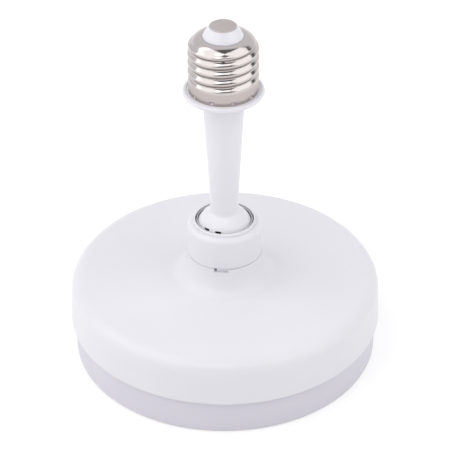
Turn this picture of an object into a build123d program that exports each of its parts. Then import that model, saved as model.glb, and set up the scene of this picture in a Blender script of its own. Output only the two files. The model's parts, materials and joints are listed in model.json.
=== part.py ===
from build123d import *
import os
from math import cos, radians, sin, sqrt

# Round LED disc lamp on a ball-jointed neck with an E27 screw cap, in millimetres.
# +Z runs up the neck and the origin is the centre of the diffuser's flat underside.
# Polar angles are counted from +X, and the lamp's front is at 270 degrees.

os.makedirs("parts", exist_ok=True)

# Housing: a shallow round cover with a flared boss in the middle
disc_radius = 60.4
housing_draft = 0.5
housing_wall = 1.6
housing_rim_z = 14.5
housing_rim_rounding = 0.3
shoulder_z = 32.2
shoulder_radius = 5.3
crown_rise = 0.8
boss_foot_radius = 21.5
boss_top_radius = 14.5
boss_top_z = 43.3

# Diffuser: a frosted cup that snaps into the housing
diffuser_inset = 1.4
diffuser_draft = 0.2
diffuser_wall = 1.5
diffuser_edge_rounding = 1.5
diffuser_corner_rounding = 1.2
diffuser_skirt_height = 3.2
diffuser_skirt_clearance = 0.2
snap_count = 6
snap_length = 8.0
snap_height = 0.7
snap_depth = 0.45
snap_rise = 1.8
snap_clearance = 0.2

# LED board, held by screws to posts under the housing's crown
led_board_gap = 0.9
led_board_thickness = 1.2
led_board_rise = 1.8
led_length = 3.5
led_width = 2.8
led_height = 0.7
led_ring_insets = (35.6, 15.0)
led_ring_counts = (8, 16)
post_inset = 7.8
post_count = 3
post_angle = 90.0
post_radius = 3.2
rib_count = 6
rib_angle = 30.0
rib_thickness = 1.2
rib_depth = 4.0
rib_inner_radius = 29.0
rib_end_gap = 2.4
screw_shaft_radius = 1.25
screw_head_radius = 2.4
screw_head_height = 1.4
screw_head_rounding = 0.8
screw_bite = 7.0
screw_tip_gap = 1.0
screw_thread_clearance = 0.05
screw_hole_clearance = 0.3

# Driver board with an insulating sheet between it and the LED board
sheet_radius = 40.0
sheet_thickness = 0.3
driver_gap = 1.9
driver_length = 56.0
driver_width = 24.0
driver_thickness = 1.6
driver_corner = 2.0
driver_post_inset = 3.5
driver_post_radius = 2.6
output_pin_radius = 0.4
output_pin_x = 19.0
output_pin_middle_y = -6.5
output_pin_pitch = 4.0
output_pin_stub = 0.7
output_pin_top = 1.0
pin_solder_clearance = 0.05
pin_board_clearance = 0.6

# Electronic components, each standing on the driver board at a place given as (x, y)
lead_radius = 0.3
lead_reach = 1.2
lead_bend = 0.5
fuse_place = (-13.5, 8.6)
fuse_radius = 1.6
fuse_length = 6.5
fuse_end_rounding = 0.6
package_lift = 0.1
package_chamfer = 0.3
leg_thickness = 0.2
leg_reach = 1.1
leg_width = 0.45
bridge_place = (-15.0, 0.0)
bridge_size = (4.7, 3.8, 2.4)
bridge_leg_pitch = 2.54
chip_place = (9.0, 7.6)
chip_size = (4.9, 3.9, 1.45)
chip_leg_count = 4
chip_leg_pitch = 1.27
diode_place = (8.0, 0.6)
diode_size = (2.6, 4.3, 2.1)
diode_tab_width = 1.5
film_place = (-2.0, 8.2)
film_size = (10.0, 4.8, 7.6)
film_rounding = 0.8
can_crimp = 0.35
can_crimp_rise = 2.0
can_rounding = 0.4
input_can_place = (-4.0, -6.6)
input_can_radius = 4.0
input_can_length = 12.0
input_lead_pitch = 3.5
output_can_place = (18.5, 7.2)
output_can_radius = 3.15
output_can_height = 7.5
choke_place = (11.5, -6.6)
choke_radius = 4.0
choke_height = 7.4
choke_flange = 1.1
choke_spool_radius = 2.0
winding_inset = 0.4
winding_gap = 0.05

# Ball joint: a collar, the swivel ring that turns in it, and the stem's slotted ball inside the ring.
# Rises are counted from the top of the boss, and the radii follow inward from the collar's outside.
collar_radius = 14.35
collar_wall = 1.4
collar_wall_rise = 11.3
collar_shoulder_rise = 13.1
collar_shoulder_ledge = 0.3
collar_rim_inset = 2.35
collar_rim_width = 0.7
collar_rim_rounding = 0.3
collar_top_rise = 14.3
collar_running_gap = 0.1
collar_cone_gap = 0.45
collar_seam_height = 0.25
collar_seam_depth = 0.4

ring_wall = 1.3
ring_bottom_rise = 3.8
ring_cone_rise = 9.7
ring_top_rise = 13.9
ring_mouth_inset = 0.85
ring_lip_width = 0.25

ball_rise = 8.2
ball_wall = 2.0
ball_cut_drop = 4.0
ball_running_gap = 0.15
stub_radius = 1.2
stub_clearance = 0.05
stub_tip_gap = 0.2
tongue_angle = 241.0
slit_half_angle = 14.4
slit_width = 2.2
slit_rise = 6.1
slit_reach = 2.4

# Spigot of the housing inside the collar, its lock bead and keys, and the stop of the swivel
spigot_gap = 0.2
spigot_wall = 1.45
spigot_land = 0.5
spigot_shelf_drop = 1.4
ring_seat_gap = 0.1
bead_rise = 1.9
bead_height = 0.8
bead_depth = 0.3
bead_clearance = 0.15
key_count = 3
key_angle = 264.4
key_window_width = 5.4
key_window_height = 0.5
key_notch_depth = 1.5
key_notch_inset = 2.05
key_setback = 1.1
key_width = 4.4
key_offset = 0.4
key_clearance = 0.1
stop_angle = 90.0
stop_width = 1.6
stop_clearance = 0.1

# Neck: a tapered tube that grows out of the ball and ends in a spigot
stem_foot_radius = 5.45
stem_foot_fillet = 1.5
stem_taper_z = 68.0
stem_top_z = 111.0
stem_top_radius = 7.85
stem_bore_radius = 3.9
stem_spigot_radius = 6.3
stem_spigot_bore_radius = 5.0
stem_spigot_height = 7.0
glue_gap = 0.05
spigot_end_gap = 0.2

# Cap base: the flange, and the plug that the screw shell is crimped to
flange_radius = 15.25
flange_rise = 2.5
flange_thickness = 1.8
flange_fillet = 1.3
flange_recess_depth = 0.25
flange_lip_width = 0.45
plug_step_drop = 1.0
plug_step_height = 0.5
plug_top_drop = 0.7
plug_chamfer = 0.6
plug_wall = 2.6
plug_gap = 0.05

# E27 screw cap, where each rise is counted from the feature below it
shell_wall = 0.3
cap_skirt_radius = 13.0
thread_rise = 5.75
thread_pitch = 3.629
thread_turns = 3
thread_crest_radius = 13.13
thread_root_radius = 12.13
cap_shoulder_rise = 2.2
cap_shoulder_radius = 12.8
cap_dome_rise = 2.3
cap_dome_radius = 11.3
cap_mouth_rise = 1.4
cap_mouth_radius = 7.7
insulator_depth = 2.5
insulator_disc_radius = 10.0
insulator_disc_thickness = 1.0
insulator_gap = 0.15
insulator_proud = 0.1
insulator_cone_height = 3.6
insulator_top_radius = 5.3
contact_radius = 4.97
contact_thickness = 0.4
contact_rounding = 0.25
contact_shank_radius = 1.2
contact_shank_clearance = 0.05
contact_shank_proud = 1.2

# Supply wires, each in a neck part and a head part that meet at the ball's centre
wire_radius = 0.75
wire_offset = 0.8
wire_joint_gap = 0.6
wire_pad_x = -20.0
wire_pad_y = 8.0
wire_pad_rise = 6.2
wire_turn_z = 39.0
wire_slope_x = -11.0
wire_slope_y = 4.5
wire_slope_z = 30.5
head_wire_bends = (10.0, 15.0, 3.4)
live_wire_bend = 10.0
neutral_wire_bends = (10.0, 4.0)
live_bend_drop = 5.0
live_straight_drop = 1.5
neutral_bend_drop = 8.0
neutral_level_rise = 1.7
neutral_turn_y = 5.0
neutral_end_gap = 0.08

# Heights and radii that follow from the sizes above
wall_top_radius = disc_radius - housing_draft
housing_inner_radius = wall_top_radius - housing_wall
crown_edge_radius = wall_top_radius - shoulder_radius
shoulder_start_z = shoulder_z - shoulder_radius
boss_foot_z = shoulder_z + crown_rise
boss_width = boss_foot_radius - boss_top_radius
boss_height = boss_top_z - boss_foot_z
post_top_z = (shoulder_z + boss_foot_z - housing_wall) / 2
rib_outer_radius = housing_inner_radius - rib_end_gap
led_board_z = housing_rim_z + led_board_rise
led_board_top_z = led_board_z + led_board_thickness
sheet_top_z = led_board_top_z + sheet_thickness
driver_z = sheet_top_z + driver_gap
driver_top_z = driver_z + driver_thickness
driver_post_spacing = driver_length - 2 * driver_post_inset
screw_pilot_radius = screw_shaft_radius + screw_thread_clearance
screw_hole_radius = screw_shaft_radius + screw_hole_clearance
output_pin_places = [
    (output_pin_x, output_pin_middle_y - output_pin_pitch / 2),
    (output_pin_x, output_pin_middle_y + output_pin_pitch / 2),
]
diffuser_radius = disc_radius - diffuser_inset
diffuser_base_radius = diffuser_radius - diffuser_draft
skirt_radius = housing_inner_radius - diffuser_skirt_clearance
skirt_top_z = housing_rim_z + diffuser_skirt_height
snap_z = housing_rim_z + snap_rise
led_board_radius = skirt_radius - diffuser_wall - led_board_gap
post_circle = led_board_radius - post_inset
collar_wall_top_z = boss_top_z + collar_wall_rise
collar_shoulder_z = boss_top_z + collar_shoulder_rise
collar_top_z = boss_top_z + collar_top_rise
collar_bore_radius = collar_radius - collar_wall
collar_rim_radius = collar_radius - collar_rim_inset
collar_shoulder_end_radius = collar_rim_radius + collar_shoulder_ledge
collar_mouth_radius = collar_rim_radius - collar_rim_width
ring_bottom_z = boss_top_z + ring_bottom_rise
ring_cone_z = boss_top_z + ring_cone_rise
ring_top_z = boss_top_z + ring_top_rise
ring_outer_radius = collar_bore_radius - collar_running_gap
ring_bore_radius = ring_outer_radius - ring_wall
ring_mouth_radius = collar_mouth_radius - ring_mouth_inset
ring_lip_radius = ring_mouth_radius + ring_lip_width
ball_z = boss_top_z + ball_rise
ball_radius = ring_bore_radius - ball_running_gap
spigot_radius = collar_bore_radius - spigot_gap
spigot_bore_radius = spigot_radius - spigot_wall
spigot_top_z = ring_bottom_z - ring_seat_gap
spigot_shelf_z = spigot_top_z - spigot_shelf_drop
spigot_land_radius = spigot_radius - spigot_land
ball_cut_z = ball_z - ball_cut_drop
ball_inner_radius = ball_radius - ball_wall
stub_tip_radius = ring_outer_radius - stub_tip_gap
slit_top_z = ball_z + slit_rise
slit_inner_radius = ball_inner_radius - slit_reach
flange_bottom_z = stem_top_z + flange_rise
flange_top_z = flange_bottom_z + flange_thickness
cap_skirt_bottom_z = flange_top_z - flange_recess_depth
thread_first_crest_z = cap_skirt_bottom_z + thread_rise
thread_last_crest_z = thread_first_crest_z + thread_turns * thread_pitch
cap_shoulder_z = thread_last_crest_z + cap_shoulder_rise
cap_dome_z = cap_shoulder_z + cap_dome_rise
cap_mouth_z = cap_dome_z + cap_mouth_rise
insulator_bottom_z = cap_mouth_z - insulator_depth
insulator_cone_z = cap_mouth_z + insulator_proud
insulator_top_z = insulator_cone_z + insulator_cone_height
contact_shank_bottom_z = insulator_bottom_z - contact_shank_proud
plug_step_z = thread_first_crest_z - plug_step_drop
plug_top_z = thread_last_crest_z - plug_top_drop
plug_lower_radius = cap_skirt_radius - shell_wall - plug_gap
plug_upper_radius = thread_root_radius - shell_wall - plug_gap
thread_middle_radius = (thread_crest_radius + thread_root_radius) / 2


def sphere_height(radius, across):
    """Height above its centre at which a sphere is this far from its axis, or the reverse."""
    return sqrt(radius**2 - across**2)


def facing(angle, height=0.0):
    """Upright plane through the Z axis that faces a polar angle, with its Y direction up."""
    turn = radians(angle)
    return Plane(origin=(0, 0, height), x_dir=(-sin(turn), cos(turn), 0), z_dir=(cos(turn), sin(turn), 0))


def upright(place, height):
    """Plane like XZ with its origin at a place and height, for profiles of standing or lying rounds."""
    return Plane(origin=(*place, height), x_dir=(1, 0, 0), z_dir=(0, -1, 0))


def leg_planes(place, size, count, pitch):
    """Planes for bent legs on both sides of a package, with X outward and Y up from the board."""
    planes = []
    for side in (-1, 1):
        for index in range(count):
            x = place[0] + (index - (count - 1) / 2) * pitch
            y = place[1] + side * size[1] / 2
            planes.append(Plane(origin=(x, y, driver_top_z), x_dir=(0, side, 0), z_dir=(side, 0, 0)))
    return planes


def leg_outline(package_height):
    """Side view of a gull-wing leg: out of the package's flank, down, and out to a flat foot."""
    middle = package_lift + package_height / 2
    half = leg_thickness / 2
    return [
        (-leg_thickness, middle + half),
        (leg_reach / 3 + half, middle + half),
        (leg_reach / 2 + half, leg_thickness),
        (leg_reach, leg_thickness),
        (leg_reach, 0),
        (leg_reach / 2 - half, 0),
        (leg_reach / 3 - half, middle - half),
        (-leg_thickness, middle - half),
    ]


# Top housing: crown, wall, flared boss and spigot in one revolved shell
key_face_radius = collar_radius - key_setback
notch_floor_radius = collar_radius - key_notch_inset
snap_groove_radius = housing_inner_radius + snap_depth + snap_clearance
with BuildPart() as top_housing:
    with BuildSketch(Plane.XZ):
        with BuildLine():
            Line((crown_edge_radius, shoulder_z), (boss_foot_radius, boss_foot_z))
            EllipticalCenterArc((boss_foot_radius, boss_top_z), boss_width, boss_height, 180, arc_size=90)
            Polyline(
                (boss_top_radius, boss_top_z),
                (spigot_radius, boss_top_z),
                (spigot_radius, boss_top_z + bead_rise),
                (spigot_radius + bead_depth, boss_top_z + bead_rise + bead_height / 2),
                (spigot_radius, boss_top_z + bead_rise + bead_height),
                (spigot_radius, spigot_top_z),
                (spigot_land_radius, spigot_top_z),
                (spigot_land_radius, spigot_shelf_z),
                (spigot_bore_radius, spigot_shelf_z),
                (spigot_bore_radius, boss_top_z),
            )
            EllipticalCenterArc(
                (boss_foot_radius, boss_top_z),
                boss_foot_radius - spigot_bore_radius,
                boss_height + housing_wall,
                180,
                arc_size=90,
            )
            Line(
                (boss_foot_radius, boss_foot_z - housing_wall),
                (crown_edge_radius, shoulder_z - housing_wall),
            )
            RadiusArc(
                (crown_edge_radius, shoulder_z - housing_wall),
                (housing_inner_radius, shoulder_start_z),
                shoulder_radius - housing_wall,
            )
            Polyline(
                (housing_inner_radius, shoulder_start_z),
                (housing_inner_radius, snap_z + snap_height + snap_clearance),
                (snap_groove_radius, snap_z + snap_height + snap_clearance),
                (snap_groove_radius, snap_z - snap_clearance),
                (housing_inner_radius, snap_z - snap_clearance),
                (housing_inner_radius, housing_rim_z),
                (disc_radius, housing_rim_z),
                (wall_top_radius, shoulder_start_z),
            )
            RadiusArc((wall_top_radius, shoulder_start_z), (crown_edge_radius, shoulder_z), -shoulder_radius)
        make_face()
    revolve(axis=Axis.Z)
    rim_edges = top_housing.edges().filter_by(GeomType.CIRCLE).group_by(Axis.Z)[0]
    fillet(rim_edges.sort_by(SortBy.RADIUS)[-1], housing_rim_rounding)

    # notches in the boss's rim, and in each a key that reaches up into the collar's window
    with BuildSketch(Plane.XY.offset(boss_top_z)):
        with PolarLocations(notch_floor_radius, key_count, start_angle=key_angle):
            Rectangle(
                boss_foot_radius - notch_floor_radius,
                key_window_width,
                align=(Align.MIN, Align.CENTER),
            )
    extrude(amount=-key_notch_depth, mode=Mode.SUBTRACT)
    with BuildSketch(Plane.XY.offset(boss_top_z - key_notch_depth)):
        with PolarLocations(notch_floor_radius - spigot_land, key_count, start_angle=key_angle):
            with Locations((0, key_offset)):
                Rectangle(
                    key_face_radius - notch_floor_radius + spigot_land,
                    key_width,
                    align=(Align.MIN, Align.CENTER),
                )
    extrude(amount=key_notch_depth + key_window_height - key_clearance)

    # stop for the ring's lug, on the shelf inside the spigot
    with BuildSketch(Plane.XY.offset(spigot_shelf_z)):
        with PolarLocations(spigot_bore_radius, 1, start_angle=stop_angle):
            Rectangle(
                spigot_radius - spigot_land / 2 - spigot_bore_radius,
                stop_width,
                align=(Align.MIN, Align.CENTER),
            )
    extrude(amount=spigot_shelf_drop - stop_clearance)

    # posts for the LED board and for the driver board
    with BuildSketch(Plane.XY.offset(led_board_top_z)):
        with PolarLocations(post_circle, post_count, start_angle=post_angle):
            Circle(post_radius)
    extrude(amount=post_top_z - led_board_top_z)
    with BuildSketch(Plane.XY.offset(driver_top_z)):
        with GridLocations(driver_post_spacing, 0, 2, 1):
            Circle(driver_post_radius)
    extrude(amount=post_top_z - driver_top_z)

    # stiffening ribs under the crown
    with BuildSketch(Plane.XY.offset(post_top_z - rib_depth)):
        with PolarLocations(rib_inner_radius, rib_count, start_angle=rib_angle):
            Rectangle(rib_outer_radius - rib_inner_radius, rib_thickness, align=(Align.MIN, Align.CENTER))
    extrude(amount=rib_depth)

    # pilot holes for the screws
    with BuildSketch(Plane.XY.offset(led_board_top_z)):
        with PolarLocations(post_circle, post_count, start_angle=post_angle):
            Circle(screw_pilot_radius)
    extrude(amount=screw_bite + screw_tip_gap, mode=Mode.SUBTRACT)
    with BuildSketch(Plane.XY.offset(driver_top_z)):
        with GridLocations(driver_post_spacing, 0, 2, 1):
            Circle(screw_pilot_radius)
    extrude(amount=screw_bite + screw_tip_gap, mode=Mode.SUBTRACT)
top_housing.part.label = "top_housing"
export_step(top_housing.part, "parts/top_housing.step")

# Collar: closes over the ring, with a bead groove, windows for the housing's keys and a seam over the boss
seam_top_z = boss_top_z + collar_seam_height
cone_slope = (ring_top_z - ring_cone_z) / (ring_outer_radius - ring_lip_radius)
collar_cone_z = ring_cone_z + collar_cone_gap - (collar_bore_radius - ring_outer_radius) * cone_slope
collar_lip_z = collar_cone_z + (collar_bore_radius - collar_mouth_radius) * cone_slope
with BuildPart() as collar:
    with BuildSketch(Plane.XZ):
        with BuildLine():
            Line((collar_radius, seam_top_z), (collar_radius, collar_wall_top_z))
            shoulder = TangentArc(
                (collar_radius, collar_wall_top_z),
                (collar_shoulder_end_radius, collar_shoulder_z),
                tangent=(0, 1),
            )
            Polyline(
                shoulder @ 1,
                (collar_rim_radius, collar_shoulder_z),
                (collar_rim_radius, collar_top_z),
                (collar_mouth_radius, collar_top_z),
                (collar_mouth_radius, collar_lip_z),
                (collar_bore_radius, collar_cone_z),
                (collar_bore_radius, boss_top_z + bead_rise + bead_height + bead_clearance),
                (collar_bore_radius + bead_depth, boss_top_z + bead_rise + bead_height / 2),
                (collar_bore_radius, boss_top_z + bead_rise - bead_clearance),
                (collar_bore_radius, boss_top_z),
                (collar_radius - collar_seam_depth, boss_top_z),
                (collar_radius - collar_seam_depth, seam_top_z),
                (collar_radius, seam_top_z),
            )
        make_face()
    revolve(axis=Axis.Z)
    fillet(collar.edges().group_by(Axis.Z)[-1].sort_by(SortBy.RADIUS)[-1], collar_rim_rounding)
    with BuildSketch(Plane.XY.offset(boss_top_z)):
        with PolarLocations(collar_bore_radius, key_count, start_angle=key_angle):
            Rectangle(2 * collar_radius - 2 * collar_bore_radius, key_window_width)
    extrude(amount=key_window_height, mode=Mode.SUBTRACT)
collar.part.label = "collar"
export_step(collar.part, "parts/collar.step")

# Swivel ring: a seat for the ball that turns in the collar, open below, with a hole for each pivot stub
ring_seat_top_z = ball_z + sphere_height(ring_bore_radius, ring_mouth_radius)
with BuildPart() as swivel_ring:
    with BuildSketch(Plane.XZ):
        with BuildLine():
            Polyline(
                (ring_mouth_radius, ring_seat_top_z),
                (ring_mouth_radius, ring_top_z),
                (ring_lip_radius, ring_top_z),
                (ring_outer_radius, ring_cone_z),
                (ring_outer_radius, ring_bottom_z),
                (ring_bore_radius, ring_bottom_z),
                (ring_bore_radius, ball_z),
            )
            RadiusArc((ring_bore_radius, ball_z), (ring_mouth_radius, ring_seat_top_z), -ring_bore_radius)
        make_face()
    revolve(axis=Axis.Z)

    # lug that meets the housing's stop
    with BuildSketch(Plane.XY.offset(ring_bottom_z)):
        with PolarLocations(ring_bore_radius, 1, start_angle=stop_angle + 180):
            Rectangle(
                spigot_land_radius - stop_clearance - ring_bore_radius,
                stop_width,
                align=(Align.MIN, Align.CENTER),
            )
    extrude(amount=spigot_shelf_z + stop_clearance - ring_bottom_z)

    # pivot holes
    with BuildSketch(facing(tongue_angle, ball_z)):
        Circle(stub_radius + stub_clearance)
    extrude(amount=ring_outer_radius, both=True, mode=Mode.SUBTRACT)
swivel_ring.part.label = "swivel_ring"
export_step(swivel_ring.part, "parts/swivel_ring.step")

# Neck stem: hollow ball, tapered tube and spigot in one piece. Two slits on each side of the ball free a
# spring tongue, whose stub snaps into the swivel ring.
ball_cut_radius = sphere_height(ball_radius, ball_cut_drop)
ball_cut_bore_radius = sphere_height(ball_inner_radius, ball_cut_drop)
stem_foot_z = ball_z + sphere_height(ball_radius, stem_foot_radius)
bore_foot_z = ball_z + sphere_height(ball_inner_radius, stem_bore_radius)
with BuildPart() as neck_stem:
    with BuildSketch(Plane.XZ):
        with BuildLine():
            ThreePointArc(
                (ball_cut_radius, ball_cut_z),
                (ball_radius, ball_z),
                (stem_foot_radius, stem_foot_z),
            )
            Polyline(
                (stem_foot_radius, stem_foot_z),
                (stem_foot_radius, stem_taper_z),
                (stem_top_radius, stem_top_z),
                (stem_spigot_radius, stem_top_z),
                (stem_spigot_radius, stem_top_z + stem_spigot_height),
                (stem_spigot_bore_radius, stem_top_z + stem_spigot_height),
                (stem_spigot_bore_radius, stem_top_z),
                (stem_bore_radius, stem_taper_z),
                (stem_bore_radius, bore_foot_z),
            )
            ThreePointArc(
                (stem_bore_radius, bore_foot_z),
                (ball_inner_radius, ball_z),
                (ball_cut_bore_radius, ball_cut_z),
            )
            Line((ball_cut_bore_radius, ball_cut_z), (ball_cut_radius, ball_cut_z))
        make_face()
    revolve(axis=Axis.Z)
    foot_edge = neck_stem.edges().filter_by_position(Axis.Z, stem_foot_z, stem_foot_z)
    fillet(foot_edge, stem_foot_fillet)
    with BuildSketch(Plane.XY.offset(ball_cut_z)):
        for side in (-1, 1):
            with PolarLocations(slit_inner_radius, 2, start_angle=tongue_angle + side * slit_half_angle):
                Rectangle(ball_radius - slit_inner_radius, slit_width, align=(Align.MIN, Align.CENTER))
    extrude(amount=slit_top_z - ball_cut_z, mode=Mode.SUBTRACT)
    for angle in (tongue_angle, tongue_angle + 180):
        with BuildSketch(facing(angle, ball_z).offset(ball_inner_radius + ball_wall / 2)):
            Circle(stub_radius)
        extrude(amount=stub_tip_radius - ball_inner_radius - ball_wall / 2)
neck_stem.part.label = "neck_stem"
export_step(neck_stem.part, "parts/neck_stem.step")

# Cap base: socket for the stem, thin round flange, and the hollow plug inside the screw shell
flange_rounding = (flange_top_z - flange_bottom_z) / 2
socket_radius = stem_spigot_radius + glue_gap
socket_floor_z = stem_top_z + stem_spigot_height + spigot_end_gap
plug_bore_radius = plug_upper_radius - plug_wall
with BuildPart() as cap_base:
    with BuildSketch(Plane.XZ) as base_profile:
        with BuildLine():
            Polyline(
                (flange_radius - flange_rounding, flange_bottom_z),
                (stem_top_radius, flange_bottom_z),
                (stem_top_radius, stem_top_z),
                (socket_radius, stem_top_z),
                (socket_radius, socket_floor_z),
                (plug_bore_radius, socket_floor_z),
                (plug_bore_radius, plug_top_z),
                (plug_upper_radius - plug_chamfer, plug_top_z),
                (plug_upper_radius, plug_top_z - plug_chamfer),
                (plug_upper_radius, plug_step_z + plug_step_height),
                (plug_lower_radius, plug_step_z),
                (plug_lower_radius, cap_skirt_bottom_z),
                (flange_radius - flange_rounding - flange_lip_width, cap_skirt_bottom_z),
                (flange_radius - flange_rounding - flange_lip_width, flange_top_z),
                (flange_radius - flange_rounding, flange_top_z),
            )
            RadiusArc(
                (flange_radius - flange_rounding, flange_top_z),
                (flange_radius - flange_rounding, flange_bottom_z),
                flange_rounding,
            )
        make_face()
        underside = base_profile.vertices().filter_by_position(Axis.Y, flange_bottom_z, flange_bottom_z)
        fillet(underside.sort_by(Axis.X)[0], flange_fillet)
    revolve(axis=Axis.Z)
cap_base.part.label = "cap_base"
export_step(cap_base.part, "parts/cap_base.step")


def thread_z(quarters):
    """Height after this many quarter pitches above the first crest."""
    return thread_first_crest_z + quarters * thread_pitch / 4


# Screw shell: thin rolled metal with rounded crests and roots
with BuildPart() as screw_shell:
    with BuildSketch(Plane.XZ):
        with BuildLine():
            Line((cap_skirt_radius, cap_skirt_bottom_z), (cap_skirt_radius, thread_z(0)))
            TangentArc((cap_skirt_radius, thread_z(0)), (thread_middle_radius, thread_z(1)), tangent=(0, 1))
            for turn in range(thread_turns):
                root = 4 * turn + 2
                ThreePointArc(
                    (thread_middle_radius, thread_z(root - 1)),
                    (thread_root_radius, thread_z(root)),
                    (thread_middle_radius, thread_z(root + 1)),
                )
                ThreePointArc(
                    (thread_middle_radius, thread_z(root + 1)),
                    (thread_crest_radius, thread_z(root + 2)),
                    (thread_middle_radius, thread_z(root + 3)),
                )
            thread_end = (thread_middle_radius, thread_z(4 * thread_turns + 1))
            Line(thread_end, (cap_shoulder_radius, cap_shoulder_z))
            ThreePointArc(
                (cap_shoulder_radius, cap_shoulder_z),
                (cap_dome_radius, cap_dome_z),
                (cap_mouth_radius, cap_mouth_z),
            )
            offset(amount=shell_wall, side=Side.LEFT)
        make_face()
    revolve(axis=Axis.Z)
screw_shell.part.label = "screw_shell"
export_step(screw_shell.part, "parts/screw_shell.step")

# Insulator: white plug in the shell's mouth, with a disc under the shoulder
insulator_neck_radius = cap_mouth_radius - insulator_gap
shank_hole_radius = contact_shank_radius + contact_shank_clearance
with BuildPart() as cap_insulator:
    with BuildSketch(Plane.XZ):
        with BuildLine():
            Polyline(
                (shank_hole_radius, insulator_bottom_z),
                (insulator_disc_radius, insulator_bottom_z),
                (insulator_disc_radius, insulator_bottom_z + insulator_disc_thickness),
                (insulator_neck_radius, insulator_bottom_z + insulator_disc_thickness),
                (insulator_neck_radius, insulator_cone_z),
                (insulator_top_radius, insulator_top_z),
                (shank_hole_radius, insulator_top_z),
                close=True,
            )
        make_face()
    revolve(axis=Axis.Z)
cap_insulator.part.label = "cap_insulator"
export_step(cap_insulator.part, "parts/cap_insulator.step")

# Centre contact: a flat-headed rivet through the insulator
with BuildPart() as centre_contact:
    with BuildSketch(Plane.XY.offset(insulator_top_z)):
        Circle(contact_radius)
    extrude(amount=contact_thickness)
    fillet(centre_contact.edges().group_by(Axis.Z)[-1], contact_rounding)
    with BuildSketch(Plane.XY.offset(insulator_top_z)):
        Circle(contact_shank_radius)
    extrude(amount=contact_shank_bottom_z - insulator_top_z)
centre_contact.part.label = "centre_contact"
export_step(centre_contact.part, "parts/centre_contact.step")

# Diffuser: frosted cup with a skirt and snap nibs inside the housing's wall
with BuildPart() as diffuser:
    with BuildSketch(Plane.XZ):
        with BuildLine():
            Polyline(
                (0, 0),
                (diffuser_base_radius, 0),
                (diffuser_radius, housing_rim_z),
                (skirt_radius, housing_rim_z),
                (skirt_radius, skirt_top_z),
                (skirt_radius - diffuser_wall, skirt_top_z),
                (diffuser_base_radius - diffuser_wall, diffuser_wall),
                (0, diffuser_wall),
                close=True,
            )
        make_face()
    revolve(axis=Axis.Z)
    bottom_edge = diffuser.edges().group_by(Axis.Z)[0]
    fillet(bottom_edge, diffuser_edge_rounding)
    inner_corner = diffuser.edges().filter_by_position(Axis.Z, diffuser_wall, diffuser_wall)
    fillet(inner_corner, diffuser_corner_rounding)
    with BuildSketch(Plane.XY.offset(snap_z)):
        with PolarLocations(skirt_radius - diffuser_wall / 2, snap_count):
            Rectangle(diffuser_wall / 2 + snap_depth, snap_length, align=(Align.MIN, Align.CENTER))
    extrude(amount=snap_height)
diffuser.part.label = "diffuser"
export_step(diffuser.part, "parts/diffuser.step")

# LED board: round aluminium-core board, with holes for its screws and for the driver's output pins
with BuildPart() as led_board:
    with BuildSketch(Plane.XY.offset(led_board_z)):
        Circle(led_board_radius)
        with PolarLocations(post_circle, post_count, start_angle=post_angle):
            Circle(screw_hole_radius, mode=Mode.SUBTRACT)
        with Locations(*output_pin_places):
            Circle(output_pin_radius + pin_board_clearance, mode=Mode.SUBTRACT)
    extrude(amount=led_board_thickness)
led_board.part.label = "led_board"
export_step(led_board.part, "parts/led_board.step")

# LEDs: two rings of surface-mounted packages on the board's underside
with BuildPart() as leds:
    with BuildSketch(Plane.XY.offset(led_board_z)):
        for ring_inset, ring_count in zip(led_ring_insets, led_ring_counts):
            with PolarLocations(led_board_radius - ring_inset, ring_count):
                Rectangle(led_length, led_width)
    extrude(amount=-led_height)
leds.part.label = "leds"
export_step(leds.part, "parts/leds.step")

# LED board screws, from below into the housing's posts
with BuildPart() as led_board_screws:
    with BuildSketch(Plane.XY.offset(led_board_z)):
        with PolarLocations(post_circle, post_count, start_angle=post_angle):
            Circle(screw_head_radius)
    extrude(amount=-screw_head_height)
    fillet(led_board_screws.edges().group_by(Axis.Z)[0], screw_head_rounding)
    with BuildSketch(Plane.XY.offset(led_board_z)):
        with PolarLocations(post_circle, post_count, start_angle=post_angle):
            Circle(screw_shaft_radius)
    extrude(amount=led_board_thickness + screw_bite)
led_board_screws.part.label = "led_board_screws"
export_step(led_board_screws.part, "parts/led_board_screws.step")

# Insulating sheet between the LED board and the driver
with BuildPart() as insulating_sheet:
    with BuildSketch(Plane.XY.offset(led_board_top_z)):
        Circle(sheet_radius)
        with Locations(*output_pin_places):
            Circle(output_pin_radius + pin_board_clearance, mode=Mode.SUBTRACT)
    extrude(amount=sheet_thickness)
insulating_sheet.part.label = "insulating_sheet"
export_step(insulating_sheet.part, "parts/insulating_sheet.step")

# Driver board
with BuildPart() as driver_board:
    with BuildSketch(Plane.XY.offset(driver_z)):
        RectangleRounded(driver_length, driver_width, driver_corner)
        with GridLocations(driver_post_spacing, 0, 2, 1):
            Circle(screw_hole_radius, mode=Mode.SUBTRACT)
        with Locations(*output_pin_places):
            Circle(output_pin_radius + pin_solder_clearance, mode=Mode.SUBTRACT)
    extrude(amount=driver_thickness)
driver_board.part.label = "driver_board"
export_step(driver_board.part, "parts/driver_board.step")

# Driver screws, from below into the housing's posts
with BuildPart() as driver_screws:
    with BuildSketch(Plane.XY.offset(driver_z)):
        with GridLocations(driver_post_spacing, 0, 2, 1):
            Circle(screw_head_radius)
    extrude(amount=-screw_head_height)
    fillet(driver_screws.edges().group_by(Axis.Z)[0], screw_head_rounding)
    with BuildSketch(Plane.XY.offset(driver_z)):
        with GridLocations(driver_post_spacing, 0, 2, 1):
            Circle(screw_shaft_radius)
    extrude(amount=driver_thickness + screw_bite)
driver_screws.part.label = "driver_screws"
export_step(driver_screws.part, "parts/driver_screws.step")

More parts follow.
